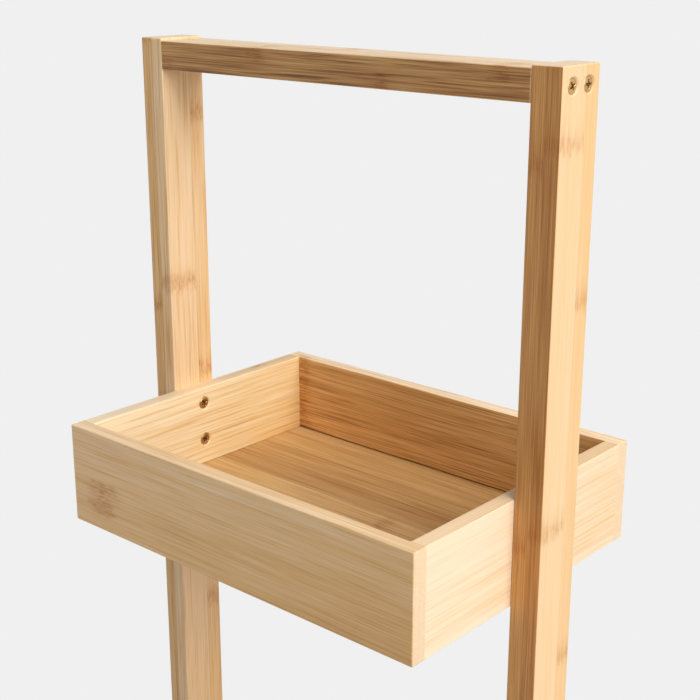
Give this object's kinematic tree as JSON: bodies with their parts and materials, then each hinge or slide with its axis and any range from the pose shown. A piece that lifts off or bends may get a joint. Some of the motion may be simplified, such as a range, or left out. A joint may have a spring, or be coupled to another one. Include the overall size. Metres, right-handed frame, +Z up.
{
  "type": "three-tier storage caddy",
  "caption": "Tall free-standing bamboo caddy: open trays stacked with wide gaps between side uprights, with a handle bar across the top for carrying.",
  "frame": {"origin": "on the floor, under the middle of the caddy", "axes": "+X along the trays to the right, +Y from the front to the back, +Z up"},
  "size_m": [0.34, 0.225, 0.9745],
  "materials": {
    "bamboo": "satin lacquer",
    "dowel": "bare",
    "screw": "yellow zinc plated",
    "pad": "matt"
  },
  "bodies": {
    "root": {"left_upright": "bamboo", "right_upright": "bamboo", "handle_bar": "bamboo", "handle_left_screws": "screw", "handle_right_screws": "screw", "foot_pads": "pad", "lower_tray_front_wall": "bamboo", "lower_tray_back_wall": "bamboo", "lower_tray_left_wall": "bamboo", "lower_tray_right_wall": "bamboo", "lower_tray_base_panel": "bamboo", "lower_tray_dowels": "dowel", "lower_tray_left_screws": "screw", "lower_tray_right_screws": "screw", "middle_tray_front_wall": "bamboo", "middle_tray_back_wall": "bamboo", "middle_tray_left_wall": "bamboo", "middle_tray_right_wall": "bamboo", "middle_tray_base_panel": "bamboo", "middle_tray_dowels": "dowel", "middle_tray_left_screws": "screw", "middle_tray_right_screws": "screw", "upper_tray_front_wall": "bamboo", "upper_tray_back_wall": "bamboo", "upper_tray_left_wall": "bamboo", "upper_tray_right_wall": "bamboo", "upper_tray_base_panel": "bamboo", "upper_tray_dowels": "dowel", "upper_tray_left_screws": "screw", "upper_tray_right_screws": "screw"}
  },
  "joints": []
}
